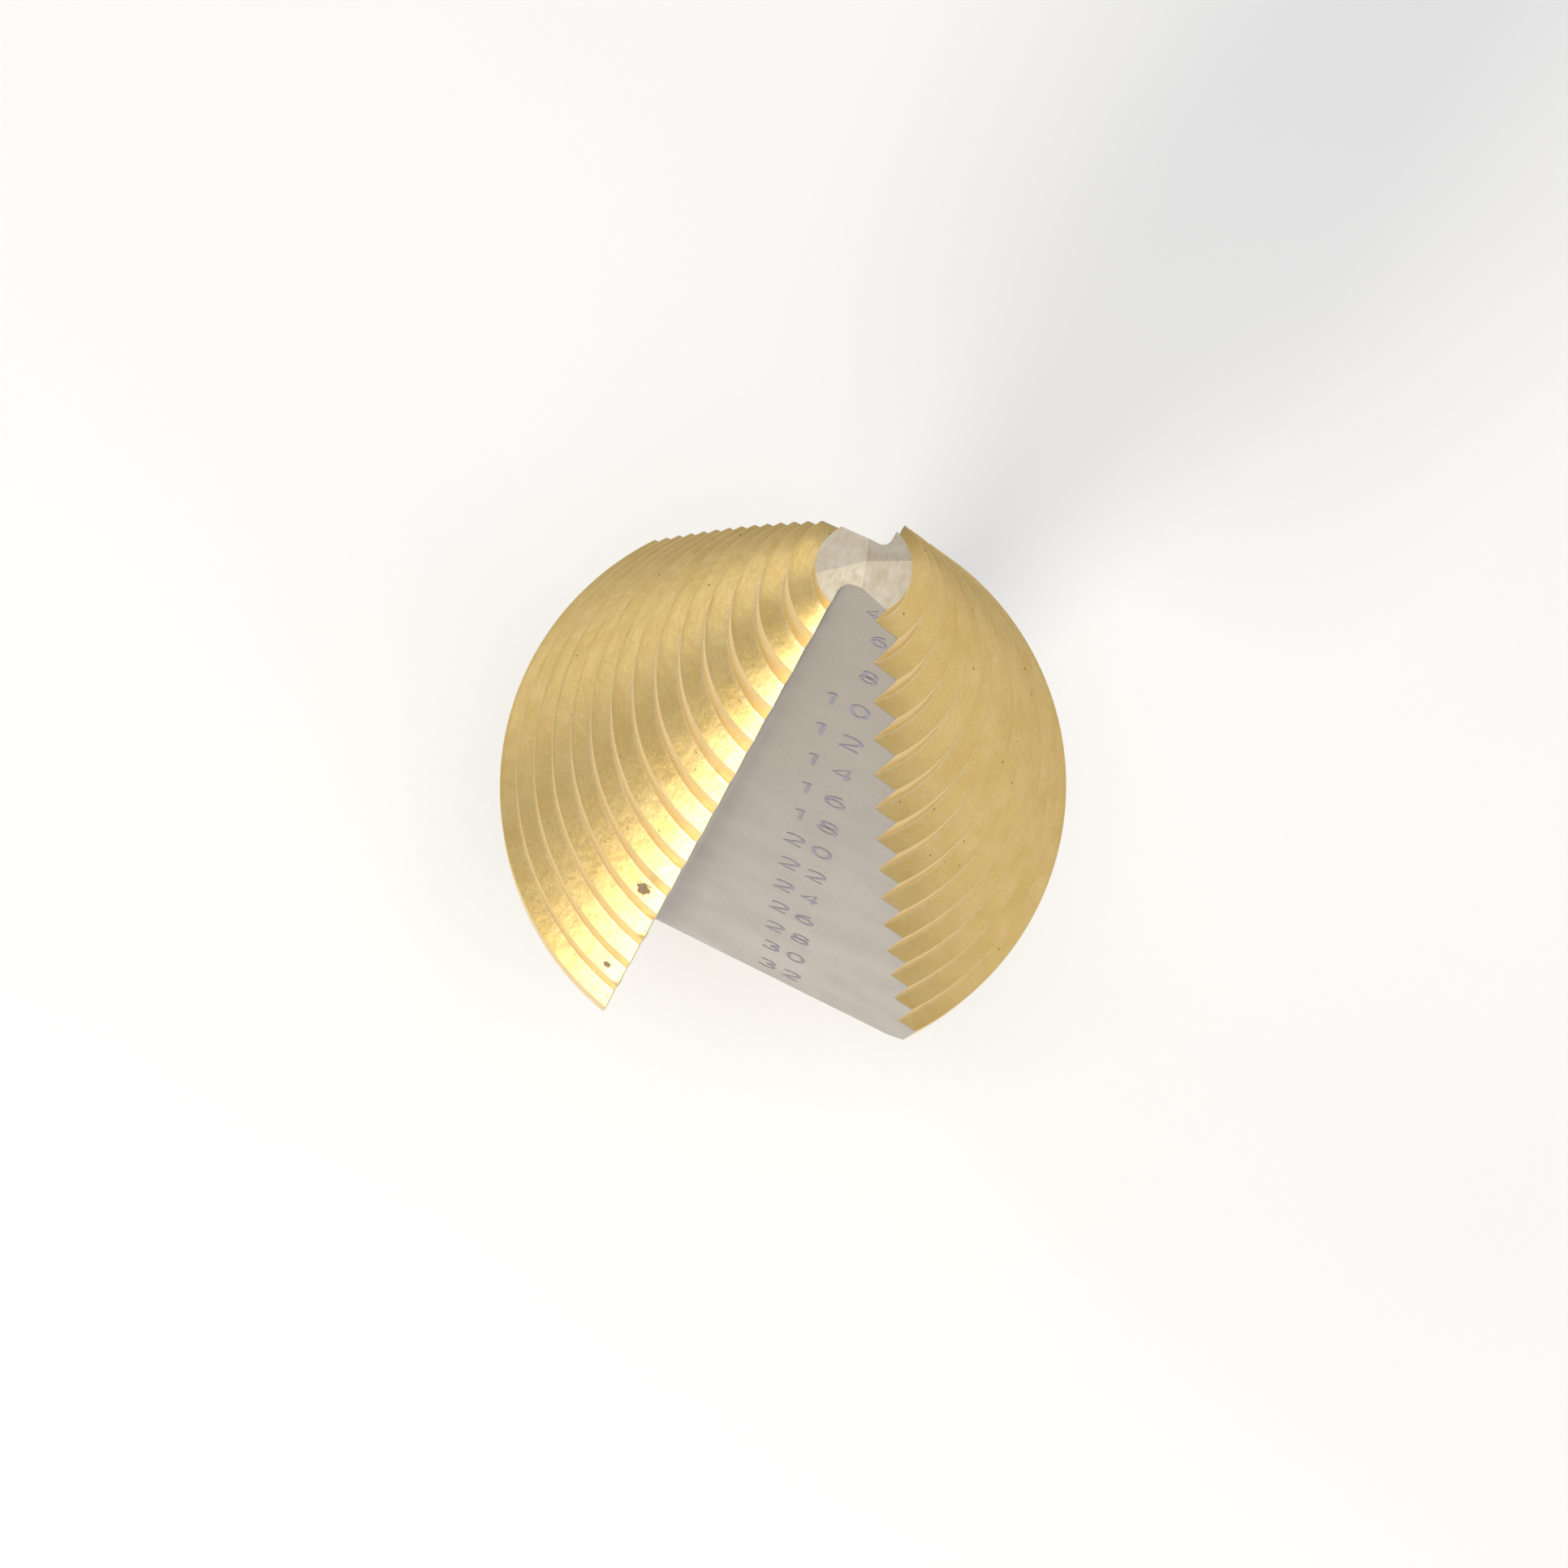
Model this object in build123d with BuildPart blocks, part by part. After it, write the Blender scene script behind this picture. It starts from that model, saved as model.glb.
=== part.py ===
"""Two-flute step drill, 4 to 32 mm in 2 mm steps, with a pressed and brazed 1/4 inch hexagon shank.

Millimetres. The origin is the centre of the shank's end face.
+Z runs along the drill's axis to its point, +X is square to the heel wall of the first flute,
and +Y is square to its rake wall.
"""

import os
from math import asin, cos, degrees, radians, sin

from build123d import *

os.makedirs("parts", exist_ok=True)

# Steps of the cutting head
STEP_COUNT = 15
SMALLEST_RADIUS = 2.0
STEP_RISE = 1.0
STEP_PITCH = 4.75
SHOULDER_LENGTH = 0.7
FIRST_LAND_LENGTH = 2.05
LAST_LAND_LENGTH = 3.6
REAR_CHAMFER = 0.6
POINT_HEIGHT = 1.3
LIP_FACET_SLOPE = 33.0
LIP_FACET_DIRECTION = -34.0
HEEL_FACET_SLOPE = 40.0
HEEL_FACET_DIRECTION = -100.0

# Relief behind each cutting edge: a lobe is a half turn about a leaning axis, set off towards its own edge
RELIEF_AT_POINT = 0.03
RELIEF_AT_BACK = 0.216
LOBE_SEAM_ANGLE = 10.0

# Flutes: V grooves that run outwards towards the shank. The heel wall is slightly hollow along its length
WEB_HEEL_SIDE = 0.912
WEB_RAKE_SIDE = 0.485
HEEL_WALL_LEAN = 0.1552
HEEL_WALL_CURVE = 0.00045
RAKE_WALL_LEAN = 0.0425
ROOT_RADIUS = 0.4
GROOVE_SIZE = 32.0
GROOVE_OVERRUN = 2.0
GROOVE_SECTIONS = 6
FLUTE_ANGLES = (0.0, 180.0)

# Hub, socket and shank
HUB_RADIUS = 6.5
HUB_LENGTH = 3.0
HUB_CHAMFER = 0.5
SPIGOT_RADIUS = 4.0
SPIGOT_DEPTH = 17.0
SPIGOT_CHAMFER = 0.6
SOCKET_CLEARANCE = 0.4
BRAZE_LEG = 1.0
HEX_ACROSS_FLATS = 6.35
HEX_LENGTH = 21.0
HEX_END_CHAMFER = 0.8
EXPOSED_SHANK = 25.0
COLLAR_CHAMFER = 0.25
DETENT_CENTRE = 10.0
DETENT_HALF_WIDTH = 1.5
DETENT_NECK_RADIUS = 2.45

HUB_BACK_Z = EXPOSED_SHANK
HEAD_BACK_Z = HUB_BACK_Z + HUB_LENGTH
LAST_FRONT_Z = HEAD_BACK_Z + REAR_CHAMFER + LAST_LAND_LENGTH
SECOND_FRONT_Z = LAST_FRONT_Z + (STEP_COUNT - 2) * STEP_PITCH
POINT_Z = SECOND_FRONT_Z + SHOULDER_LENGTH + FIRST_LAND_LENGTH + POINT_HEIGHT
LARGEST_RADIUS = SMALLEST_RADIUS + (STEP_COUNT - 1) * STEP_RISE


def step_radius(step):
    """Radius of a land at its cutting edge; step 1 is next to the point."""
    return SMALLEST_RADIUS + (step - 1) * STEP_RISE


def step_front(step):
    """Height at which a land begins, on the side of the point, from step 2 on."""
    return SECOND_FRONT_Z - (step - 2) * STEP_PITCH


def heel_wall(height):
    """Distance of a heel wall from the drill's axis at a height."""
    back = POINT_Z - height
    return WEB_HEEL_SIDE + HEEL_WALL_LEAN * back - HEEL_WALL_CURVE * back**2


def rake_wall(height):
    """Distance of a rake wall from the drill's axis at a height."""
    return WEB_RAKE_SIDE + RAKE_WALL_LEAN * (POINT_Z - height)


def edge_angle():
    """Angle of the cutting edge at the largest land, where the rake wall reaches its radius."""
    return -degrees(asin(rake_wall(LAST_FRONT_Z) / LARGEST_RADIUS))


def relief_offset(height):
    """Distance of a lobe's own axis from the drill's axis at a height."""
    share = (POINT_Z - height) / (POINT_Z - LAST_FRONT_Z)
    return RELIEF_AT_POINT + (RELIEF_AT_BACK - RELIEF_AT_POINT) * share


def turned_point(radius, height):
    """Outline point whose radius is right at the cutting edge, as (radius from the lobe's axis, height)."""
    lead = relief_offset(height) * cos(radians(edge_angle() - LOBE_SEAM_ANGLE))
    return (radius - lead, height)


def stepped_outline():
    """Half outline of a lobe, run past the back face and the point, which are cut afterwards."""
    below = HEAD_BACK_Z - REAR_CHAMFER
    outline = [(0, below), turned_point(LARGEST_RADIUS - 2 * REAR_CHAMFER, below)]
    outline.append(turned_point(LARGEST_RADIUS, HEAD_BACK_Z + REAR_CHAMFER))
    for step in range(STEP_COUNT, 1, -1):
        outline.append(turned_point(step_radius(step), step_front(step)))
        outline.append(turned_point(step_radius(step - 1), step_front(step) + SHOULDER_LENGTH))
    above = POINT_Z + POINT_HEIGHT
    outline.append(turned_point(SMALLEST_RADIUS, above))
    outline.append((0, above))
    return outline


def add_lobe(turn):
    """One stepped half, turned about the leaning axis that gives its lands their relief."""
    seam = radians(LOBE_SEAM_ANGLE + turn)
    low = Vector(cos(seam), sin(seam), 0) * relief_offset(0)
    high = Vector(cos(seam), sin(seam), 0) * relief_offset(POINT_Z) + Vector(0, 0, POINT_Z)
    lean = (high - low).normalized()
    across = Vector(sin(seam), -cos(seam), 0)
    with BuildSketch(Plane(origin=low, x_dir=lean.cross(across), z_dir=across)) as half_section:
        with BuildLine():
            Polyline(*stepped_outline(), close=True)
        make_face()
    revolve(half_section.sketch, axis=Axis(low, -lean), revolution_arc=180)


def groove_section(height, turn):
    """Section of a V groove at a height: a square corner with a rounded bottom."""
    with BuildSketch(Plane.XY.offset(height).rotated((0, 0, turn))) as section:
        with Locations((heel_wall(height), -rake_wall(height))):
            Rectangle(GROOVE_SIZE, GROOVE_SIZE, align=(Align.MIN, Align.MIN))
        bottom = section.vertices().sort_by_distance((0, 0, 0))[0]
        fillet(bottom, ROOT_RADIUS)
    return section.sketch.face()


def cut_flute(turn):
    """Cuts one straight flute through the head and out at both ends."""
    start = HEAD_BACK_Z - GROOVE_OVERRUN
    spacing = (POINT_Z + GROOVE_OVERRUN - start) / (GROOVE_SECTIONS - 1)
    sections = [groove_section(start + i * spacing, turn) for i in range(GROOVE_SECTIONS)]
    loft(sections=sections, mode=Mode.SUBTRACT)


def point_facet(slope, direction):
    """Plane of a facet ground on the point, falling away from the axis in a direction."""
    fall = radians(direction)
    tilt = radians(slope)
    normal = (sin(tilt) * cos(fall), sin(tilt) * sin(fall), cos(tilt))
    return Plane(origin=(0, 0, POINT_Z), z_dir=normal)


# Cutting head: stepped high-speed steel body with two flutes and a hub bored for the shank
with BuildPart() as cutting_head:
    for flute_angle in FLUTE_ANGLES:
        add_lobe(flute_angle)
    split(bisect_by=Plane.XY.offset(HEAD_BACK_Z), keep=Keep.TOP)
    for flute_angle in FLUTE_ANGLES:
        split(bisect_by=point_facet(LIP_FACET_SLOPE, LIP_FACET_DIRECTION + flute_angle), keep=Keep.BOTTOM)
        split(bisect_by=point_facet(HEEL_FACET_SLOPE, HEEL_FACET_DIRECTION + flute_angle), keep=Keep.BOTTOM)
    for flute_angle in FLUTE_ANGLES:
        cut_flute(flute_angle)
    with BuildSketch(Plane.XY.offset(HUB_BACK_Z)):
        Circle(HUB_RADIUS)
    extrude(amount=HUB_LENGTH)
    hub_end = cutting_head.faces().sort_by(Axis.Z)[0]
    chamfer(hub_end.edges(), length=HUB_CHAMFER)
    with BuildSketch(Plane.XY.offset(HUB_BACK_Z)):
        Circle(SPIGOT_RADIUS)
    extrude(amount=SPIGOT_DEPTH + SOCKET_CLEARANCE, mode=Mode.SUBTRACT)
cutting_head.part.label = "cutting_head"
export_step(cutting_head.part, "parts/cutting_head.step")

# Shank: hexagon with a detent groove, a round collar, and the spigot that sits in the head
with BuildPart() as hex_shank:
    with BuildSketch(Plane.XY):
        RegularPolygon(HEX_ACROSS_FLATS / 2, 6, major_radius=False)
    extrude(amount=HEX_LENGTH)
    with BuildSketch(Plane.XY.offset(HEX_LENGTH)):
        Circle(SPIGOT_RADIUS)
    extrude(amount=HUB_BACK_Z + SPIGOT_DEPTH - HEX_LENGTH)
    collar_rims = hex_shank.edges().filter_by(GeomType.CIRCLE).sort_by(Axis.Z)
    chamfer(collar_rims[0], length=COLLAR_CHAMFER)
    spigot_rims = hex_shank.edges().filter_by(GeomType.CIRCLE).sort_by(Axis.Z)
    chamfer(spigot_rims[-1], length=SPIGOT_CHAMFER)
    with BuildSketch(Plane.XZ):
        with BuildLine():
            Polyline(
                (HEX_ACROSS_FLATS / 2 - HEX_END_CHAMFER / 2, 0),
                (HEX_ACROSS_FLATS, 0),
                (HEX_ACROSS_FLATS, HEX_ACROSS_FLATS / 2 + HEX_END_CHAMFER / 2),
                close=True,
            )
        make_face()
        with BuildLine():
            neck_side = Line(
                (HEX_ACROSS_FLATS, DETENT_CENTRE - DETENT_HALF_WIDTH),
                (HEX_ACROSS_FLATS, DETENT_CENTRE + DETENT_HALF_WIDTH),
            )
            outer_end = Line(neck_side @ 1, (SPIGOT_RADIUS, DETENT_CENTRE + DETENT_HALF_WIDTH))
            neck = ThreePointArc(
                outer_end @ 1,
                (DETENT_NECK_RADIUS, DETENT_CENTRE),
                (SPIGOT_RADIUS, DETENT_CENTRE - DETENT_HALF_WIDTH),
            )
            Line(neck @ 1, neck_side @ 0)
        make_face()
    revolve(axis=Axis.Z, mode=Mode.SUBTRACT)
hex_shank.part.label = "hex_shank"
export_step(hex_shank.part, "parts/hex_shank.step")

# Braze ring: filler run round the shank where it enters the hub
with BuildPart() as braze_ring:
    with BuildSketch(Plane.XZ):
        with BuildLine():
            Polyline(
                (SPIGOT_RADIUS, HUB_BACK_Z),
                (SPIGOT_RADIUS + BRAZE_LEG, HUB_BACK_Z),
                (SPIGOT_RADIUS, HUB_BACK_Z - BRAZE_LEG),
                close=True,
            )
        make_face()
    revolve(axis=Axis.Z)
braze_ring.part.label = "braze_ring"
export_step(braze_ring.part, "parts/braze_ring.step")
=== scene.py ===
"""Looks of the stepped drill: ground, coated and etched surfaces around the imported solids."""

import itertools
import math

import bmesh
import bpy
from mathutils import Matrix, Vector, noise


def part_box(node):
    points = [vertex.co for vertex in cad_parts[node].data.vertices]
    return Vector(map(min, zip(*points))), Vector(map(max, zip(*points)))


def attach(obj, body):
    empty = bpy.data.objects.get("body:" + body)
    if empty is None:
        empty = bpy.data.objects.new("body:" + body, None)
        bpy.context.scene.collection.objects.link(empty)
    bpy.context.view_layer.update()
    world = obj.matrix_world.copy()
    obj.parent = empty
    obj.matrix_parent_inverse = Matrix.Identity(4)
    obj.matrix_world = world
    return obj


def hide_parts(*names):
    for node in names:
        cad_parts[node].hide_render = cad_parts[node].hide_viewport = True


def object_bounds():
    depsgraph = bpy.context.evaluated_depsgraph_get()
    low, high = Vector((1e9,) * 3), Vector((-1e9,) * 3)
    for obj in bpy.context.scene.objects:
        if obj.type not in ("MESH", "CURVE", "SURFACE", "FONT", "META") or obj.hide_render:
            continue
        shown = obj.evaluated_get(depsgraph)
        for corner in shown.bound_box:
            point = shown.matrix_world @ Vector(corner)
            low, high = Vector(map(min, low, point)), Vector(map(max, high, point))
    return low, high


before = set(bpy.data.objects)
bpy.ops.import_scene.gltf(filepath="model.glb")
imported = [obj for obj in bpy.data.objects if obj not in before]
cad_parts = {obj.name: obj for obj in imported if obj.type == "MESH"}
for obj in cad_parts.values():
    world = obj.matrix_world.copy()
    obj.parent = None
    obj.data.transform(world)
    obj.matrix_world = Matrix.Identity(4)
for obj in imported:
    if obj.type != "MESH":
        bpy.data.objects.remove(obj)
cad_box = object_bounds()
MM = 0.001

# Driving sizes of the drill, in millimetres, as in its solids
STEP_COUNT = 15
SMALLEST_RADIUS = 2.0
STEP_PITCH = 4.75
SHOULDER_LENGTH = 0.7
REAR_CHAMFER = 0.6
FIRST_LAND_LENGTH = 2.05
LAST_LAND_LENGTH = 3.6
# Slope and direction of fall of each facet of the point: beside the cutting lip, then behind it
LIP_FACET = (math.radians(33), math.radians(-34))
HEEL_FACET = (math.radians(40), math.radians(-100))
RELIEF_AT_POINT = 0.03
RELIEF_AT_BACK = 0.216
LOBE_SEAM = math.radians(10)
WEB_HEEL_SIDE = 0.912
WEB_RAKE_SIDE = 0.485
HEEL_WALL_LEAN = 0.1552
HEEL_WALL_CURVE = 0.00045
RAKE_WALL_LEAN = 0.0425
ROOT_RADIUS = 0.4
HUB_RADIUS = 6.5
HUB_LENGTH = 3.0
HUB_CHAMFER = 0.5
SHANK_RADIUS = 4.0
HEX_APOTHEM = 6.35 / 2
HEX_LENGTH = 21.0
DETENT_CENTRE = 10.0
DETENT_HALF_WIDTH = 1.5
DETENT_NECK_RADIUS = 2.45

HUB_BACK_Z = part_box("cutting_head")[0].z / MM
POINT_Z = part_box("cutting_head")[1].z / MM
HEAD_BACK_Z = HUB_BACK_Z + HUB_LENGTH
LAST_FRONT_Z = HEAD_BACK_Z + REAR_CHAMFER + LAST_LAND_LENGTH
LARGEST_RADIUS = SMALLEST_RADIUS + STEP_COUNT - 1
AXIS_LEAN = (RELIEF_AT_BACK - RELIEF_AT_POINT) / (POINT_Z - LAST_FRONT_Z)


# ---------------------------------------------------------------- shape of the head

def heel_wall(z):
    back = POINT_Z - z
    return WEB_HEEL_SIDE + HEEL_WALL_LEAN * back - HEEL_WALL_CURVE * back**2


def rake_wall(z):
    return WEB_RAKE_SIDE + RAKE_WALL_LEAN * (POINT_Z - z)


def step_front(step):
    """Height at which a land begins, on the side of the point."""
    if step == 1:
        return step_front(2) + SHOULDER_LENGTH + FIRST_LAND_LENGTH
    return LAST_FRONT_Z + (STEP_COUNT - step) * STEP_PITCH


EASE_PIECES = 3


def rounded(points, reach, pieces=EASE_PIECES):
    """An outline of (radius, height) points with each corner eased over a short reach."""
    eased = [points[0]]
    for before, corner, after in zip(points, points[1:], points[2:]):
        a, b, c = Vector(before), Vector(corner), Vector(after)
        start = b + (a - b).normalized() * reach
        end = b + (c - b).normalized() * reach
        for i in range(pieces + 1):
            t = i / pieces
            eased.append(tuple(start * (1 - t) ** 2 + b * 2 * t * (1 - t) + end * t**2))
    eased.append(points[-1])
    return eased


EDGE_EASE = 0.05
SUPPORT = 0.22
ROW_GAP = 0.45
OUTLINE_OVERRUN = 0.3


def stepped_outline():
    """(radius, height, wear) rows from the back of the head to above its point."""
    corners = [(LARGEST_RADIUS - REAR_CHAMFER, HEAD_BACK_Z), (LARGEST_RADIUS, HEAD_BACK_Z + REAR_CHAMFER)]
    for step in range(STEP_COUNT, 1, -1):
        corners.append((SMALLEST_RADIUS + step - 1, step_front(step)))
        corners.append((SMALLEST_RADIUS + step - 2, step_front(step) + SHOULDER_LENGTH))
    corners.append((SMALLEST_RADIUS, POINT_Z + OUTLINE_OVERRUN))
    rows = []
    eased = rounded(corners, EDGE_EASE)
    per_corner = EASE_PIECES + 1
    for i, (radius, z) in enumerate(eased):
        corner = (i - 1) // per_corner
        inner = 0 < i < len(eased) - 1
        convex = inner and corner % 2 == 0
        rows.append((radius, z, 1.0 if convex else 0.0))
    # A support row each side of a convex corner keeps the worn edge narrow.
    full = []
    for (r0, z0, w0), (r1, z1, _) in zip(rows, rows[1:]):
        full.append((r0, z0, w0))
        gap = math.hypot(r1 - r0, z1 - z0)
        if gap > 3 * SUPPORT:
            between = math.ceil((gap - 2 * SUPPORT) / ROW_GAP)
            for i in range(between + 1):
                share = (SUPPORT + (gap - 2 * SUPPORT) * i / between) / gap
                full.append((r0 + (r1 - r0) * share, z0 + (z1 - z0) * share, 0.0))
    full.append(rows[-1])
    return full


ARC_COLUMNS = 130
RAKE_COLUMNS = 8
ROOT_COLUMNS = 6
HEEL_COLUMNS = 18
CORNER_EASE = 0.03
EDGE_ANGLE = -math.asin(rake_wall(LAST_FRONT_Z) / LARGEST_RADIUS)


def half_loop(radius, z):
    """Points of one lobe's arc and of the flute ahead of it, as (x, y, z, part, share, way to the edge)."""
    offset = RELIEF_AT_POINT + AXIS_LEAN * (POINT_Z - z)
    turned = radius - offset * math.cos(EDGE_ANGLE - LOBE_SEAM)
    cx, cy = offset * math.cos(LOBE_SEAM), offset * math.sin(LOBE_SEAM)
    tip = AXIS_LEAN * turned * min(1.0, (z - HEAD_BACK_Z) / REAR_CHAMFER)
    wall_x, wall_y = heel_wall(z), -rake_wall(z)
    rake_end = math.asin((wall_y - cy) / turned) - CORNER_EASE / turned
    heel_end = -math.acos((-wall_x - cx) / turned) + CORNER_EASE / turned
    rake_lift = tip * math.cos(rake_end - LOBE_SEAM)
    heel_lift = tip * math.cos(heel_end - LOBE_SEAM)
    points = []
    for i in range(ARC_COLUMNS + 1):
        even = i / ARC_COLUMNS
        share = 0.5 * even + 0.5 * (0.5 - 0.5 * math.cos(math.pi * even))
        angle = heel_end + (rake_end - heel_end) * share
        x, y = cx + turned * math.cos(angle), cy + turned * math.sin(angle)
        lift = tip * math.cos(angle - LOBE_SEAM)
        points.append((x, y, z + lift, "lobe", share, (rake_end - angle) * turned))
    edge_x = points[-1][0] - CORNER_EASE
    root_x = wall_x + ROOT_RADIUS
    for i in range(RAKE_COLUMNS + 1):
        share = i / RAKE_COLUMNS
        way = (edge_x - root_x) * share
        points.append((edge_x - way, wall_y, z + rake_lift * (1 - share), "rake", share, way))
    for i in range(1, ROOT_COLUMNS):
        angle = -math.pi / 2 - math.pi / 2 * i / ROOT_COLUMNS
        x = root_x + ROOT_RADIUS * math.cos(angle)
        y = wall_y + ROOT_RADIUS + ROOT_RADIUS * math.sin(angle)
        points.append((x, y, z, "root", i / ROOT_COLUMNS, LARGEST_RADIUS))
    heel_y = -points[0][1] - CORNER_EASE
    start_y = wall_y + ROOT_RADIUS
    for i in range(HEEL_COLUMNS + 1):
        share = i / HEEL_COLUMNS
        y = start_y + (heel_y - start_y) * share
        points.append((wall_x, y, z + heel_lift * share, "heel", share, LARGEST_RADIUS))
    return points


COATED, GROUND, POINT = 0, 1, 2
EDGE_WEAR = 0.8
FACET_ANGLE = math.radians(12)
NICKS = (
    # lobe, step, share of the step's length back from its front, width and depth in mm
    (0, 11, 0.62, 1.1, 0.30),
    (0, 12, 0.04, 0.7, 0.22),
    (0, 14, 0.03, 0.6, 0.16),
    (0, 9, 0.35, 0.9, 0.12),
    (1, 11, 0.60, 1.0, 0.20),
    (1, 6, 0.04, 0.7, 0.14),
    (1, 14, 0.20, 0.9, 0.15),
)
NICK_REACH = 0.3


def nick_depth(lobe, z):
    """How far a cutting edge has chipped inwards at a height."""
    depths = [0.0]
    for nick_lobe, step, share, width, depth in NICKS:
        if nick_lobe == lobe:
            centre = step_front(step) - share * STEP_PITCH
            depths.append(depth * math.exp(-(((z - centre) / (width / 2)) ** 2)))
    return max(depths)


def make_head():
    """The head as one closed skin: stepped lobes, flutes, point, back face and bored hub."""
    bm = bmesh.new()
    wear_layer = bm.verts.layers.float.new("wear")
    rows = stepped_outline()
    loops, tags = [], []
    for radius, z, wear in rows:
        loop, tag = [], []
        for lobe, sign in enumerate((1, -1)):
            for x, y, lifted, part, share, way in half_loop(radius, z):
                chip = nick_depth(lobe, lifted) * math.exp(-((way / NICK_REACH) ** 2))
                keep = sign * (1 - chip / math.hypot(x, y))
                vert = bm.verts.new((keep * x, keep * y, lifted))
                at_edge = share in (0.0, 1.0)
                if part == "lobe":
                    vert[wear_layer] = EDGE_WEAR if at_edge else wear
                loop.append(vert)
                tag.append(part)
        loops.append(loop)
        tags.append(tag)
    count = len(loops[0])
    for lower, upper, tag in zip(loops, loops[1:], tags):
        for i in range(count):
            j = (i + 1) % count
            face = bm.faces.new((lower[i], lower[j], upper[j], upper[i]))
            face.material_index = COATED if tag[i] == "lobe" and tag[j] == "lobe" else GROUND
    close_back(bm, loops[0], wear_layer)
    close_point(bm, loops[-1])
    bmesh.ops.recalc_face_normals(bm, faces=bm.faces)
    for edge in bm.edges:
        at_point = any(face.material_index == POINT for face in edge.link_faces)
        edge.smooth = not (at_point and edge.calc_face_angle(0) > FACET_ANGLE)
    return bm


HUB_COLUMNS = 96
HUB_EASE = 0.12
HUB_EASE_PIECES = 4
HUB_MARGIN = 0.5
BORE_SHOWN = 1.0


def circle_loop(bm, radius, z, count=HUB_COLUMNS):
    turn = 2 * math.pi / count
    places = [(radius * math.cos(i * turn), radius * math.sin(i * turn), z) for i in range(count)]
    return [bm.verts.new(place) for place in places]


def bridge(bm, lower, upper, material):
    count = len(lower)
    for i in range(count):
        j = (i + 1) % count
        face = bm.faces.new((lower[i], lower[j], upper[j], upper[i]))
        face.material_index = material


def loop_edges(bm, loop):
    return [bm.edges.get((a, b)) or bm.edges.new((a, b)) for a, b in zip(loop, loop[1:] + loop[:1])]


def close_back(bm, outer, wear_layer):
    """Flat back face, then the hub with its chamfer and the mouth of its bore."""
    hub = [
        (HUB_RADIUS + HUB_MARGIN, HEAD_BACK_Z),
        (HUB_RADIUS, HEAD_BACK_Z),
        (HUB_RADIUS, HUB_BACK_Z + HUB_CHAMFER),
        (HUB_RADIUS - HUB_CHAMFER, HUB_BACK_Z),
        (SHANK_RADIUS, HUB_BACK_Z),
        (SHANK_RADIUS, HEAD_BACK_Z - BORE_SHOWN),
    ]
    outline = rounded(hub, HUB_EASE, HUB_EASE_PIECES)
    circles = [circle_loop(bm, radius, z) for radius, z in outline]
    edges = loop_edges(bm, outer) + loop_edges(bm, circles[0])
    made = bmesh.ops.triangle_fill(bm, use_beauty=True, use_dissolve=False, edges=edges)
    for face in made["geom"]:
        if isinstance(face, bmesh.types.BMFace):
            face.material_index = COATED
    for inner, outer_circle in zip(circles[1:], circles):
        bridge(bm, outer_circle, inner, COATED)
    bm.faces.new(circles[-1]).material_index = COATED


CUT_TOLERANCE = 1e-5


def close_point(bm, top):
    """Caps the first land and grinds the four facets that meet in the point."""
    bmesh.ops.triangle_fill(bm, use_beauty=True, edges=loop_edges(bm, top))
    for turn, (slope, fall) in itertools.product((0, math.pi), (LIP_FACET, HEEL_FACET)):
        direction = fall + turn
        normal = Vector((
            math.sin(slope) * math.cos(direction),
            math.sin(slope) * math.sin(direction),
            math.cos(slope),
        ))
        geometry = list(bm.verts) + list(bm.edges) + list(bm.faces)
        cut = bmesh.ops.bisect_plane(
            bm,
            geom=geometry,
            plane_co=(0, 0, POINT_Z),
            plane_no=normal,
            clear_outer=True,
            dist=CUT_TOLERANCE,
        )
        rim = [e for e in cut["geom_cut"] if isinstance(e, bmesh.types.BMEdge)]
        made = bmesh.ops.triangle_fill(bm, use_beauty=True, edges=rim)
        for face in made["geom"]:
            if isinstance(face, bmesh.types.BMFace):
                face.material_index = POINT


NORMAL_WEIGHT = 50


def to_object(bm, name, materials, smooth=True, weighted=True):
    """Turns a mesh in millimetres into a piece in metres that rides on the drill's body."""
    bmesh.ops.scale(bm, vec=(MM, MM, MM), verts=bm.verts)
    mesh = bpy.data.meshes.new(name)
    bm.to_mesh(mesh)
    bm.free()
    for material in materials:
        mesh.materials.append(material)
    for polygon in mesh.polygons:
        polygon.use_smooth = smooth
    piece = bpy.data.objects.new(name, mesh)
    bpy.context.scene.collection.objects.link(piece)
    if weighted:
        modifier = piece.modifiers.new("weighted", "WEIGHTED_NORMAL")
        modifier.mode = "FACE_AREA"
        modifier.weight = NORMAL_WEIGHT
        modifier.keep_sharp = True
    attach(piece, "root")
    return piece


# ---------------------------------------------------------------- shank and braze

def soft_min(values, blend):
    """The smallest of several radii, with the meeting edges rounded off."""
    low = min(values)
    total = sum(math.exp(-(v - low) / blend) for v in values)
    return low - blend * math.log(total)


HEX_END_EASE = 0.4
CORNER_BLEND = 0.012


def shank_radius(angle, z):
    """Radius of the shank: hexagon, detent groove, end chamfer and round collar."""
    sector = math.pi / 3
    off = (angle - math.pi / 6) % sector
    off = min(off, sector - off)
    hexagon = HEX_APOTHEM / math.cos(off)
    radii = [hexagon, SHANK_RADIUS, HEX_APOTHEM - HEX_END_EASE + z]
    reach = SHANK_RADIUS - DETENT_NECK_RADIUS
    neck = (reach**2 + DETENT_HALF_WIDTH**2) / (2 * reach)
    offset = abs(z - DETENT_CENTRE)
    if offset < DETENT_HALF_WIDTH:
        radii.append(DETENT_NECK_RADIUS + neck - math.sqrt(neck**2 - offset**2))
    return soft_min(radii, CORNER_BLEND)


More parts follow.
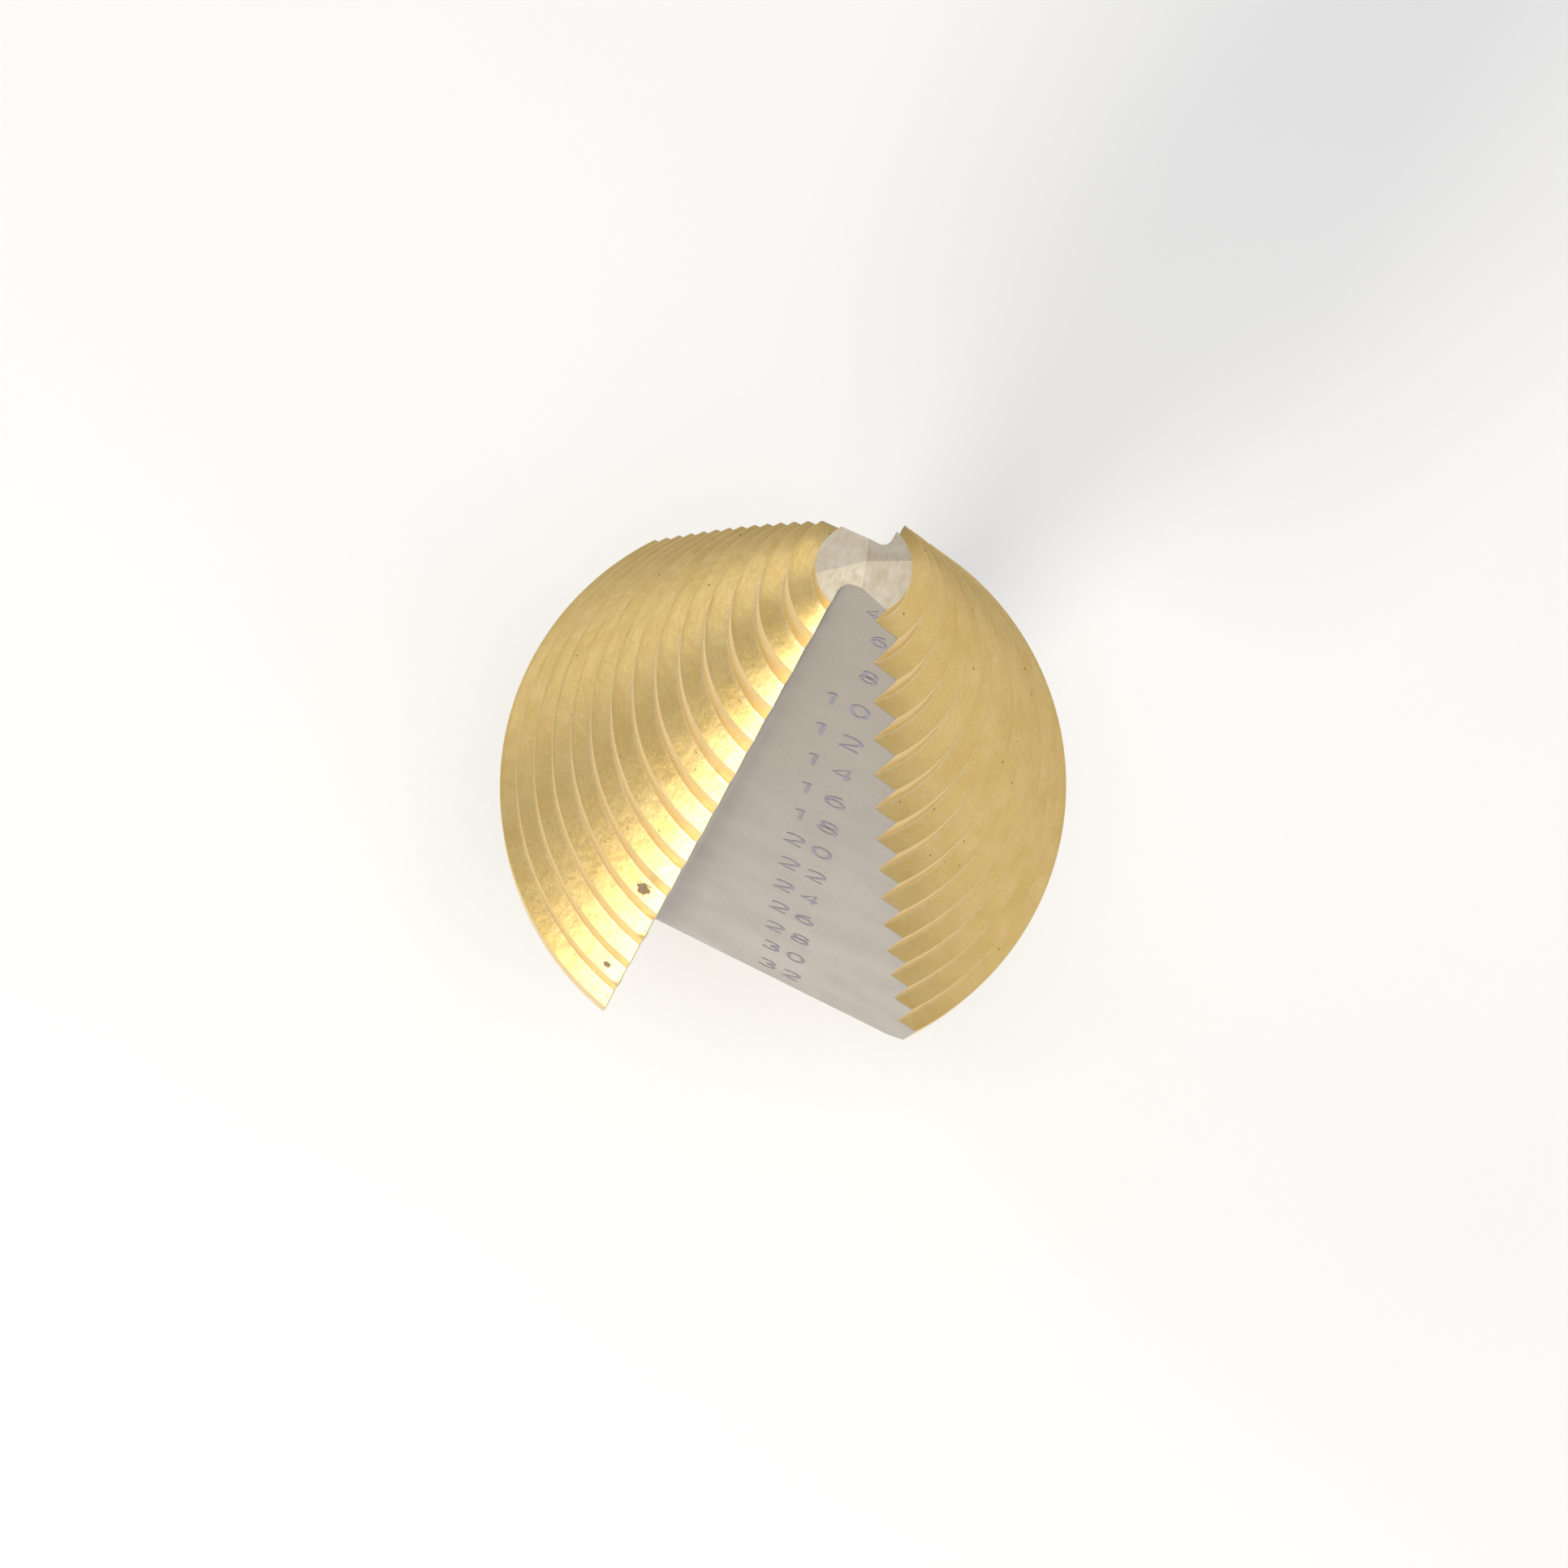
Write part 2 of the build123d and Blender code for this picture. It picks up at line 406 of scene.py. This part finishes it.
SHANK_COLUMNS = 192
FIRST_ROW = 0.02
FINE_ROW = 0.07
COARSE_ROW = 0.5
FINE_MARGIN = 0.3
CHAMFERED_END = 1.2
COLLAR_SHARES = (0.0, 0.15, 0.4, 0.7, 1.0)
COLLAR_LEAD = 0.05
COLLAR_RISE = 0.3
COLLAR_EASE = 0.02
COLLAR_SWELL = 0.6
CORNER_NARROWNESS = 12
COLLAR_ROWS = (HEX_LENGTH + 0.4, 23.0, 24.0, 25.0, 27.5)


def make_shank():
    """Hexagon with its detent groove, worn a little on the corners, and the round collar up into the hub."""
    columns = SHANK_COLUMNS
    bm = bmesh.new()
    wear_layer = bm.verts.layers.float.new("wear")
    heights = [0.0, FIRST_ROW]
    while heights[-1] < HEX_LENGTH - FINE_MARGIN:
        z = heights[-1]
        near = abs(z - DETENT_CENTRE) < DETENT_HALF_WIDTH + FINE_MARGIN or z < CHAMFERED_END
        heights.append(z + (FINE_ROW if near else COARSE_ROW))
    loops = []
    for z in heights:
        loops.append([(shank_radius(i * 2 * math.pi / columns, z), z) for i in range(columns)])
    for share in COLLAR_SHARES:
        z = HEX_LENGTH - COLLAR_LEAD + COLLAR_RISE * share
        ring = []
        for i in range(columns):
            hexagon = shank_radius(i * 2 * math.pi / columns, HEX_LENGTH - COARSE_ROW)
            swell = SHANK_RADIUS - COLLAR_EASE - hexagon
            ring.append((hexagon + swell * share**COLLAR_SWELL, z))
        loops.append(ring)
    for z in COLLAR_ROWS:
        loops.append([(SHANK_RADIUS, z)] * columns)
    made = []
    for loop in loops:
        ring = []
        for i, (radius, z) in enumerate(loop):
            angle = i * 2 * math.pi / columns
            vert = bm.verts.new((radius * math.cos(angle), radius * math.sin(angle), z))
            corner = math.cos(3 * (angle - math.pi / 3)) ** 2 if z < HEX_LENGTH else 0.0
            vert[wear_layer] = EDGE_WEAR * corner**CORNER_NARROWNESS
            ring.append(vert)
        made.append(ring)
    for lower, upper in zip(made, made[1:]):
        bridge(bm, lower, upper, 0)
    bm.faces.new(reversed(made[0]))
    bm.faces.new(made[-1])
    bmesh.ops.recalc_face_normals(bm, faces=bm.faces)
    return bm


BRAZE_COLUMNS = 144
BRAZE_PIECES = 14
BRAZE_LEG = 0.86
BRAZE_WAVE = 0.12
BRAZE_WAVE_SCALE = 3
BRAZE_WAVE_PLACE = 7.0
BRAZE_HOLLOW = 1.7
BRAZE_SINK = 0.05
BRAZE_OVERLAP = 0.02


def make_braze():
    """Hollow-faced bead of filler in the corner of shank and hub, slightly uneven round the ring."""
    bm = bmesh.new()
    base = HUB_BACK_Z
    rings = []
    for i in range(BRAZE_COLUMNS):
        angle = 2 * math.pi * i / BRAZE_COLUMNS
        across, along = BRAZE_WAVE_SCALE * math.cos(angle), BRAZE_WAVE_SCALE * math.sin(angle)
        wave = noise.noise(Vector((across, along, BRAZE_WAVE_PLACE)))
        leg = BRAZE_LEG + BRAZE_WAVE * wave
        ring = []
        for j in range(BRAZE_PIECES + 1):
            share = j / BRAZE_PIECES
            radius = SHANK_RADIUS + leg * (1 - share) ** BRAZE_HOLLOW
            z = base - leg * share**BRAZE_HOLLOW
            ring.append((radius, z))
        ring.append((SHANK_RADIUS - BRAZE_SINK, base - leg))
        ring.append((SHANK_RADIUS - BRAZE_SINK, base + BRAZE_OVERLAP))
        ring.append((SHANK_RADIUS + leg, base + BRAZE_OVERLAP))
        rings.append([bm.verts.new((r * math.cos(angle), r * math.sin(angle), z)) for r, z in ring])
    for a, b in zip(rings, rings[1:] + rings[:1]):
        bridge(bm, a, b, 0)
    bmesh.ops.recalc_face_normals(bm, faces=bm.faces)
    return bm


# ---------------------------------------------------------------- materials

GOLD_DEEP = (0.74, 0.525, 0.195)
GOLD_PALE = (0.82, 0.61, 0.265)
GOLD_SHADE = (0.66, 0.46, 0.18)
GOLD_RING = (0.87, 0.69, 0.36)
SPECK_BROWN = (0.16, 0.10, 0.06)
GOLD_WORN = (0.88, 0.75, 0.52)
CHIP_BROWN = (0.30, 0.22, 0.14)
WALL_DULL = (0.44, 0.405, 0.365)
WALL_CLEAN = (0.50, 0.465, 0.425)
WALL_LINE = (0.56, 0.525, 0.48)
# Painted shade: darker wall colour mixed in towards the point, standing in for how the light falls there
WALL_PAINTED_SHADE = (0.34, 0.30, 0.255)
SPECK_BLACK = (0.10, 0.08, 0.07)
FACET_STRAW = (0.72, 0.62, 0.46)
FACET_BRIGHT = (0.84, 0.77, 0.63)
FACET_LINE = (0.56, 0.46, 0.32)
SHANK_SCUFFED = (0.56, 0.54, 0.51)
SHANK_BRIGHT = (0.66, 0.64, 0.61)
SHANK_LINE = (0.42, 0.40, 0.38)
SHANK_WORN = (0.82, 0.80, 0.77)
FILLER_DULL = (0.66, 0.47, 0.26)
FILLER_BRIGHT = (0.78, 0.62, 0.40)
FLUX_STAIN = (0.24, 0.17, 0.12)
MARK_DARK = (0.23, 0.21, 0.25)
MARK_RUBBED = (0.37, 0.34, 0.38)


class Nodes:
    """Short names for building a material's node tree."""

    def __init__(self, name):
        self.material = bpy.data.materials.new(name)
        self.material.use_nodes = True
        self.tree = self.material.node_tree
        self.tree.nodes.clear()
        self.output = self.tree.nodes.new("ShaderNodeOutputMaterial")
        self.shader = self.tree.nodes.new("ShaderNodeBsdfPrincipled")
        self.tree.links.new(self.shader.outputs[0], self.output.inputs[0])

    def add(self, kind, **settings):
        node = self.tree.nodes.new("ShaderNode" + kind)
        for key, value in settings.items():
            setattr(node, key, value)
        return node

    def link(self, source, target):
        self.tree.links.new(source, target)

    def math(self, operation, a, b=None, clamp=False):
        node = self.add("Math", operation=operation, use_clamp=clamp)
        for socket, value in zip(node.inputs, (a, b)):
            if value is None:
                continue
            if isinstance(value, (int, float)):
                socket.default_value = value
            else:
                self.link(value, socket)
        return node.outputs[0]

    def mix(self, factor, a, b):
        node = self.add("Mix", data_type="RGBA")
        for index, value in ((0, factor), (6, a), (7, b)):
            if isinstance(value, (int, float)):
                node.inputs[index].default_value = value
            elif isinstance(value, tuple):
                node.inputs[index].default_value = (*value, 1)
            else:
                self.link(value, node.inputs[index])
        return node.outputs[2]

    def ramp(self, value, low, high, to_low=0.0, to_high=1.0):
        node = self.add("MapRange", clamp=True)
        self.link(value, node.inputs[0])
        for index, number in zip((1, 2, 3, 4), (low, high, to_low, to_high)):
            node.inputs[index].default_value = number
        return node.outputs[0]

    def millimetres(self):
        """Object coordinates in millimetres."""
        place = self.add("TexCoord")
        scale = self.add("VectorMath", operation="SCALE")
        self.link(place.outputs["Object"], scale.inputs[0])
        scale.inputs[3].default_value = 1 / MM
        return scale.outputs[0]

    def noise(self, vector, scale, detail=3.0, roughness=0.55, stretch=(1, 1, 1)):
        squeeze = self.add("VectorMath", operation="MULTIPLY")
        self.link(vector, squeeze.inputs[0])
        squeeze.inputs[1].default_value = stretch
        texture = self.add("TexNoise")
        self.link(squeeze.outputs[0], texture.inputs["Vector"])
        texture.inputs["Scale"].default_value = scale
        texture.inputs["Detail"].default_value = detail
        texture.inputs["Roughness"].default_value = roughness
        return texture.outputs[0]

    def line_noise(self, value, scale, detail=2.0):
        texture = self.add("TexNoise", noise_dimensions="1D")
        self.link(value, texture.inputs["W"])
        texture.inputs["Scale"].default_value = scale
        texture.inputs["Detail"].default_value = detail
        return texture.outputs[0]

    def bump(self, height, distance, strength=1.0, below=None):
        node = self.add("Bump")
        node.inputs["Strength"].default_value = strength
        node.inputs["Distance"].default_value = distance * MM
        self.link(height, node.inputs["Height"])
        if below is not None:
            self.link(below, node.inputs["Normal"])
        return node.outputs[0]


def turned_position(n, place):
    """A coordinate that grows along the drill's outline and is the same all round it."""
    split = n.add("SeparateXYZ")
    n.link(place, split.inputs[0])
    x2 = n.math("MULTIPLY", split.outputs[0], split.outputs[0])
    y2 = n.math("MULTIPLY", split.outputs[1], split.outputs[1])
    radius = n.math("SQRT", n.math("ADD", x2, y2))
    return n.math("SUBTRACT", split.outputs[2], n.math("MULTIPLY", radius, 1.3))


CHIPS = (
    # lobe, step whose shoulder has chipped, distance from the cutting edge and size in mm
    (0, 11, 1.4, 0.50),
    (0, 14, 1.2, 0.28),
    (1, 8, 2.4, 0.26),
    (1, 13, 6.0, 0.30),
)


def coating_chips(n, place):
    """A mask that is one where the coating has flaked off in small ragged patches."""
    ragged = n.noise(place, 3.4, 3.0, 0.65)
    total = None
    for lobe, step, way, size in CHIPS:
        radius = SMALLEST_RADIUS + step - 1.5
        angle = EDGE_ANGLE - way / radius + lobe * math.pi
        height = step_front(step) + SHOULDER_LENGTH / 2
        gap = n.add("VectorMath", operation="DISTANCE")
        n.link(place, gap.inputs[0])
        gap.inputs[1].default_value = (radius * math.cos(angle), radius * math.sin(angle), height)
        far = n.math("ADD", gap.outputs["Value"], n.math("MULTIPLY", ragged, 1.6 * size))
        patch = n.ramp(far, 1.35 * size, 1.55 * size, 1.0, 0.0)
        total = patch if total is None else n.math("MAXIMUM", total, patch)
    return total


def coated_steel():
    """Gold nitride over turned steel: rings from turning, mottling, specks and bright worn edges."""
    n = Nodes("coated_steel")
    place = n.millimetres()
    along = turned_position(n, place)
    mottle = n.noise(place, 0.55, 4.0)
    fine = n.noise(place, 7.0, 4.0, 0.7)
    rings = n.line_noise(along, 9.0, 3.0)
    gold = n.mix(n.ramp(mottle, 0.35, 0.7), GOLD_DEEP, GOLD_PALE)
    gold = n.mix(n.ramp(fine, 0.42, 0.75, 0.0, 0.4), gold, GOLD_SHADE)
    gold = n.mix(n.ramp(rings, 0.55, 0.8, 0.0, 0.25), gold, GOLD_RING)
    specks = n.add("TexVoronoi")
    n.link(place, specks.inputs["Vector"])
    specks.inputs["Scale"].default_value = 1.1
    spot = n.ramp(specks.outputs["Distance"], 0.035, 0.07, 0.75, 0.0)
    gold = n.mix(spot, gold, SPECK_BROWN)
    wear = n.add("Attribute", attribute_name="wear")
    broken = n.ramp(n.noise(place, 3.0, 3.0), 0.35, 0.65, 0.25, 1.0)
    worn = n.math("MULTIPLY", n.ramp(wear.outputs["Fac"], 0.25, 0.9), broken)
    gold = n.mix(n.math("MULTIPLY", worn, 0.4), gold, GOLD_WORN)
    bare = coating_chips(n, place)
    gold = n.mix(bare, gold, CHIP_BROWN)
    n.link(gold, n.shader.inputs["Base Color"])
    n.shader.inputs["Metallic"].default_value = 1.0
    rough = n.ramp(fine, 0.3, 0.7, 0.34, 0.48)
    spot = n.math("MAXIMUM", spot, bare)
    n.link(n.math("ADD", rough, n.math("MULTIPLY", spot, 0.3)), n.shader.inputs["Roughness"])
    bumped = n.bump(rings, 0.012, 0.5)
    bumped = n.bump(fine, 0.010, 0.5, bumped)
    bumped = n.bump(n.noise(place, 1.2, 2.0), 0.05, 0.6, bumped)
    bumped = n.bump(n.math("SUBTRACT", 1.0, bare), 0.012, 0.8, bumped)
    n.link(bumped, n.shader.inputs["Normal"])
    return n.material


def ground_steel():
    """Bare wheel-ground flute walls: lines along the flute, a dull haze, a few dark specks and painted shade
    towards the point.
    """
    n = Nodes("ground_steel")
    place = n.millimetres()
    split = n.add("SeparateXYZ")
    n.link(place, split.inputs[0])
    # Measured from the leaning walls themselves, so that the lines run parallel to the root of the flute
    back = n.math("SUBTRACT", POINT_Z, split.outputs[2])
    wall = n.math("ADD", n.math("MULTIPLY", back, HEEL_WALL_LEAN), WEB_HEEL_SIDE)
    wall = n.math("SUBTRACT", wall, n.math("MULTIPLY", n.math("MULTIPLY", back, back), HEEL_WALL_CURVE))
    on_wall = n.add("CombineXYZ")
    n.link(n.math("SUBTRACT", n.math("ABSOLUTE", split.outputs[0]), wall), on_wall.inputs[0])
    n.link(split.outputs[1], on_wall.inputs[1])
    n.link(split.outputs[2], on_wall.inputs[2])
    lines = n.noise(on_wall.outputs[0], 1.0, 3.0, 0.6, (7.0, 7.0, 0.12))
    haze = n.noise(place, 0.25, 3.0)
    fine = n.noise(place, 9.0, 3.0, 0.7)
    steel = n.mix(n.ramp(haze, 0.35, 0.65), WALL_DULL, WALL_CLEAN)
    steel = n.mix(n.ramp(lines, 0.4, 0.7, 0.0, 0.25), steel, WALL_LINE)
    # Painted shade: the flute walls are made darker towards the point to stand in for how the light falls
    # there
    painted_shade_to_point = n.ramp(split.outputs[2], HEAD_BACK_Z + 8, POINT_Z - 12, 0.0, 0.75)
    steel = n.mix(painted_shade_to_point, steel, WALL_PAINTED_SHADE)
    specks = n.add("TexVoronoi")
    n.link(place, specks.inputs["Vector"])
    specks.inputs["Scale"].default_value = 1.6
    spot = n.ramp(specks.outputs["Distance"], 0.04, 0.08, 0.7, 0.0)
    rare = n.ramp(n.noise(place, 0.6, 2.0), 0.55, 0.62)
    spot = n.math("MULTIPLY", spot, rare)
    steel = n.mix(spot, steel, SPECK_BLACK)
    n.link(steel, n.shader.inputs["Base Color"])
    n.shader.inputs["Metallic"].default_value = 1.0
    n.link(n.ramp(fine, 0.3, 0.7, 0.48, 0.6), n.shader.inputs["Roughness"])
    bumped = n.bump(lines, 0.004, 0.5)
    bumped = n.bump(fine, 0.004, 0.5, bumped)
    n.link(bumped, n.shader.inputs["Normal"])
    return n.material


def point_steel():
    """Facets of the point: fine wheel lines and a straw-brown film from the heat of grinding."""
    n = Nodes("point_steel")
    place = n.millimetres()
    lines = n.noise(place, 1.0, 3.0, 0.6, (3.0, 16.0, 3.0))
    film = n.noise(place, 1.4, 3.0)
    steel = n.mix(n.ramp(film, 0.35, 0.65), FACET_STRAW, FACET_BRIGHT)
    steel = n.mix(n.ramp(lines, 0.4, 0.7, 0.0, 0.3), steel, FACET_LINE)
    n.link(steel, n.shader.inputs["Base Color"])
    n.shader.inputs["Metallic"].default_value = 1.0
    n.link(n.ramp(lines, 0.3, 0.7, 0.34, 0.48), n.shader.inputs["Roughness"])
    n.link(n.bump(lines, 0.005, 0.5), n.shader.inputs["Normal"])
    return n.material


def shank_steel():
    """Bright drawn bar: lines along the shank, light scuffs and rubbed corners."""
    n = Nodes("shank_steel")
    place = n.millimetres()
    lines = n.noise(place, 1.0, 3.0, 0.6, (9.0, 9.0, 0.5))
    scuff = n.noise(place, 1.2, 5.0, 0.7)
    fine = n.noise(place, 8.0, 3.0, 0.7)
    steel = n.mix(n.ramp(scuff, 0.4, 0.65), SHANK_SCUFFED, SHANK_BRIGHT)
    steel = n.mix(n.ramp(lines, 0.45, 0.75, 0.0, 0.4), steel, SHANK_LINE)
    wear = n.add("Attribute", attribute_name="wear")
    steel = n.mix(n.ramp(wear.outputs["Fac"], 0.2, 0.8, 0.0, 0.6), steel, SHANK_WORN)
    n.link(steel, n.shader.inputs["Base Color"])
    n.shader.inputs["Metallic"].default_value = 1.0
    n.link(n.ramp(scuff, 0.3, 0.7, 0.26, 0.42), n.shader.inputs["Roughness"])
    bumped = n.bump(lines, 0.006, 0.5)
    bumped = n.bump(fine, 0.004, 0.5, bumped)
    n.link(bumped, n.shader.inputs["Normal"])
    return n.material


def braze_filler():
    """Dull copper-silver filler with flow marks and a little flux stain."""
    n = Nodes("braze_filler")
    place = n.millimetres()
    flow = n.noise(place, 1.6, 4.0)
    stain = n.noise(place, 0.9, 3.0, 0.6)
    filler = n.mix(n.ramp(flow, 0.35, 0.7), FILLER_DULL, FILLER_BRIGHT)
    filler = n.mix(n.ramp(stain, 0.55, 0.75, 0.0, 0.6), filler, FLUX_STAIN)
    n.link(filler, n.shader.inputs["Base Color"])
    n.shader.inputs["Metallic"].default_value = 1.0
    n.link(n.ramp(stain, 0.4, 0.8, 0.34, 0.62), n.shader.inputs["Roughness"])
    n.link(n.bump(flow, 0.05, 0.5), n.shader.inputs["Normal"])
    return n.material


def etched():
    """Matt dark mark left by etching, uneven where it has rubbed thin."""
    n = Nodes("etched_marks")
    place = n.millimetres()
    rubbed = n.noise(place, 4.0, 4.0, 0.7)
    mark = n.mix(n.ramp(rubbed, 0.4, 0.75), MARK_DARK, MARK_RUBBED)
    n.link(mark, n.shader.inputs["Base Color"])
    n.shader.inputs["Metallic"].default_value = 0.6
    n.link(n.ramp(rubbed, 0.3, 0.7, 0.55, 0.7), n.shader.inputs["Roughness"])
    n.link(n.bump(rubbed, 0.003, 0.4), n.shader.inputs["Normal"])
    return n.material


# ---------------------------------------------------------------- size marks

MARK_HEIGHT = 1.75
MARK_PITCH = 1.5
MARK_LIFT = 0.012
MARK_DROP = 1.3
MARK_FIRST_Y = 1.62
MARK_Y_PER_STEP = 0.25
MARK_MARGIN = 0.15
MARK_SMALLEST = 0.45
MARK_GROWTH = 0.11
MARK_REACH = 0.75
MARK_HALF_WIDTH = 0.13


def digit_strokes(digit):
    """Centre lines of a plain stroke numeral in a box one wide and two high, from its own arcs and lines."""
    def arc(cx, cy, rx, ry, start, end, pieces=14):
        turn = [start + (end - start) * i / pieces for i in range(pieces + 1)]
        return [(cx + rx * math.cos(math.radians(a)), cy + ry * math.sin(math.radians(a))) for a in turn]

    return {
        "0": [arc(0.5, 1.0, 0.5, 1.0, 0, 360, 28)],
        "1": [[(0.2, 1.55), (0.55, 2.0), (0.55, 0.0)]],
        "2": [arc(0.5, 1.45, 0.5, 0.55, 160, -35) + [(0.0, 0.0), (1.0, 0.0)]],
        "3": [arc(0.48, 1.5, 0.46, 0.5, 150, -90), arc(0.48, 0.5, 0.52, 0.5, 90, -150)],
        "4": [[(0.75, 0.0), (0.75, 2.0), (0.0, 0.6), (1.0, 0.6)]],
        "6": [arc(0.5, 0.6, 0.5, 0.6, 0, 360, 24), arc(1.05, 0.75, 1.05, 1.25, 180, 105)],
        "8": [arc(0.5, 1.5, 0.42, 0.48, 0, 360, 22), arc(0.5, 0.52, 0.5, 0.52, 0, 360, 22)],
    }[digit]


def stroke_ribbon(bm, points, half_width, place):
    """A flat ribbon of even width along a stroke, lifted a little off the wall."""
    left, right = [], []
    closed = (Vector(points[0]) - Vector(points[-1])).length < 1e-6
    for i, point in enumerate(points):
        before = points[i - 1] if i else (points[-2] if closed else points[0])
        after = points[i + 1] if i + 1 < len(points) else (points[1] if closed else points[-1])
        direction = (Vector(after) - Vector(before)).normalized()
        normal = Vector((-direction.y, direction.x)) * half_width
        left.append(bm.verts.new(place(point[0] + normal.x, point[1] + normal.y)))
        right.append(bm.verts.new(place(point[0] - normal.x, point[1] - normal.y)))
    for i in range(len(points) - 1):
        bm.faces.new((right[i], right[i + 1], left[i + 1], left[i]))


def make_marks():
    """One size mark beside each land, on the heel wall of the first flute."""
    bm = bmesh.new()
    glyph = MARK_HEIGHT / 2
    for step in range(1, STEP_COUNT + 1):
        front = step_front(step)
        small = min(1.0, MARK_SMALLEST + MARK_GROWTH * step)
        last_y = MARK_FIRST_Y + MARK_Y_PER_STEP * (step - 1)
        heel_edge = math.sqrt((SMALLEST_RADIUS + step - 1) ** 2 - heel_wall(front) ** 2)
        last_y = min(last_y, heel_edge - MARK_REACH * glyph * small - MARK_MARGIN)
        label = str(2 * (step + 1))
        base_z = front - MARK_DROP - glyph * small
        for back, digit in enumerate(reversed(label)):
            y0 = last_y - back * MARK_PITCH * small

            def place(u, v):
                z = base_z + v * glyph * small
                return heel_wall(z) + MARK_LIFT, y0 + (u - 0.5) * glyph * small, z

            for stroke in digit_strokes(digit):
                stroke_ribbon(bm, stroke, MARK_HALF_WIDTH, place)
    return bm


# ---------------------------------------------------------------- build the pieces

gold = coated_steel()
steel = ground_steel()
head = to_object(make_head(), "stepped_head", [gold, steel, point_steel()])
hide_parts("cutting_head")
shank = to_object(make_shank(), "shank", [shank_steel()])
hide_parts("hex_shank")
braze = to_object(make_braze(), "braze_bead", [braze_filler()])
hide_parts("braze_ring")
to_object(make_marks(), "size_marks", [etched()], smooth=False, weighted=False)

# ---------------------------------------------------------------- floor, camera and light

FLOOR_SIDE = 1.6
FLOOR_GAP = 0.0002
FLOOR_CELLS = 8
FLOOR_SHADE = (0.93, 0.93, 0.925)
FLOOR_LIGHT = (0.96, 0.96, 0.955)


def make_floor():
    """A plain pale floor under the drill, a flat square sheet, wide so that its far edge never shows."""
    n = Nodes("floor")
    place = n.millimetres()
    grain = n.noise(place, 0.02, 3.0)
    n.link(n.mix(grain, FLOOR_SHADE, FLOOR_LIGHT), n.shader.inputs["Base Color"])
    n.shader.inputs["Roughness"].default_value = 0.9
    bm = bmesh.new()
    bmesh.ops.create_grid(bm, x_segments=FLOOR_CELLS, y_segments=FLOOR_CELLS, size=FLOOR_SIDE / 2)
    mesh = bpy.data.meshes.new("floor")
    bm.to_mesh(mesh)
    bm.free()
    mesh.materials.append(n.material)
    floor = bpy.data.objects.new("floor", mesh)
    floor.location.z = cad_box[0][2] - FLOOR_GAP
    bpy.context.scene.collection.objects.link(floor)


CAMERA_AZIMUTH = math.radians(6.2)
CAMERA_TILT = math.radians(8.37)
CAMERA_ROLL = math.radians(-20.27)
CAMERA_DISTANCE = 0.2337
LENS_MM = 95.96
SENSOR_MM = 36
NEAREST = 0.01
AIM = Vector((0, 0, LAST_FRONT_Z * MM))


def make_camera():
    """Looks down on the point, a little off the drill's axis and almost in the plane of a rake wall."""
    out = Vector((
        math.sin(CAMERA_TILT) * math.cos(CAMERA_AZIMUTH),
        math.sin(CAMERA_TILT) * math.sin(CAMERA_AZIMUTH),
        math.cos(CAMERA_TILT),
    ))
    level_up = (Vector((0, 0, 1)) - out * out.z).normalized()
    level_right = (-out).cross(level_up)
    up = level_up * math.cos(CAMERA_ROLL) + level_right * math.sin(CAMERA_ROLL)
    right = up.cross(out)
    data = bpy.data.cameras.new("camera")
    data.lens = LENS_MM
    data.sensor_width = SENSOR_MM
    data.clip_start = NEAREST
    camera = bpy.data.objects.new("camera", data)
    rotation = Matrix((right, up, out)).transposed().to_4x4()
    camera.matrix_world = Matrix.Translation(AIM + out * CAMERA_DISTANCE) @ rotation
    bpy.context.scene.collection.objects.link(camera)
    bpy.context.scene.camera = camera
    return right, up, out


LIT_CENTRE = Vector((0, 0, 0.065))


def soft_light(name, direction, distance, size, power, colour=(1, 1, 1)):
    """A rectangular soft light aimed at the middle of the drill."""
    data = bpy.data.lights.new(name, "AREA")
    data.shape = "RECTANGLE"
    data.size, data.size_y = size
    data.energy = power
    data.color = colour
    lamp = bpy.data.objects.new(name, data)
    direction = Vector(direction).normalized()
    lamp.location = LIT_CENTRE + direction * distance
    lamp.rotation_euler = direction.to_track_quat("Z", "Y").to_euler()
    bpy.context.scene.collection.objects.link(lamp)


make_floor()
right, up, out = make_camera()


def around(clock, height):
    """Direction from the drill: clock degrees as seen in the picture, height above the floor in degrees."""
    a, h = math.radians(clock), math.radians(height)
    flat_right = Vector((right.x, right.y, 0)).normalized()
    flat_up = Vector((up.x, up.y, 0)).normalized()
    return (flat_right * math.cos(a) + flat_up * math.sin(a)) * math.cos(h) + Vector((0, 0, math.sin(h)))


WARM = (1.0, 0.96, 0.85)
SOFT_WARM = (1.0, 0.95, 0.86)
soft_light("key", around(233, 22), distance=0.5, size=(0.16, 0.22), power=1.75, colour=WARM)
soft_light("right", around(-8, 24), distance=0.6, size=(1.0, 0.35), power=0.64, colour=SOFT_WARM)
soft_light("top_left", around(146, 30), distance=0.6, size=(0.35, 0.3), power=0.45)
soft_light("overhead", (0.1, 0.1, 1.0), distance=0.8, size=(0.5, 0.5), power=2.0)

SKY = (0.95, 0.96, 1.0, 1)
SKY_STRENGTH = 0.45
world = bpy.data.worlds.new("world")
world.use_nodes = True
world.node_tree.nodes["Background"].inputs[0].default_value = SKY
world.node_tree.nodes["Background"].inputs[1].default_value = SKY_STRENGTH
bpy.context.scene.world = world
bpy.context.scene.view_settings.view_transform = "Standard"
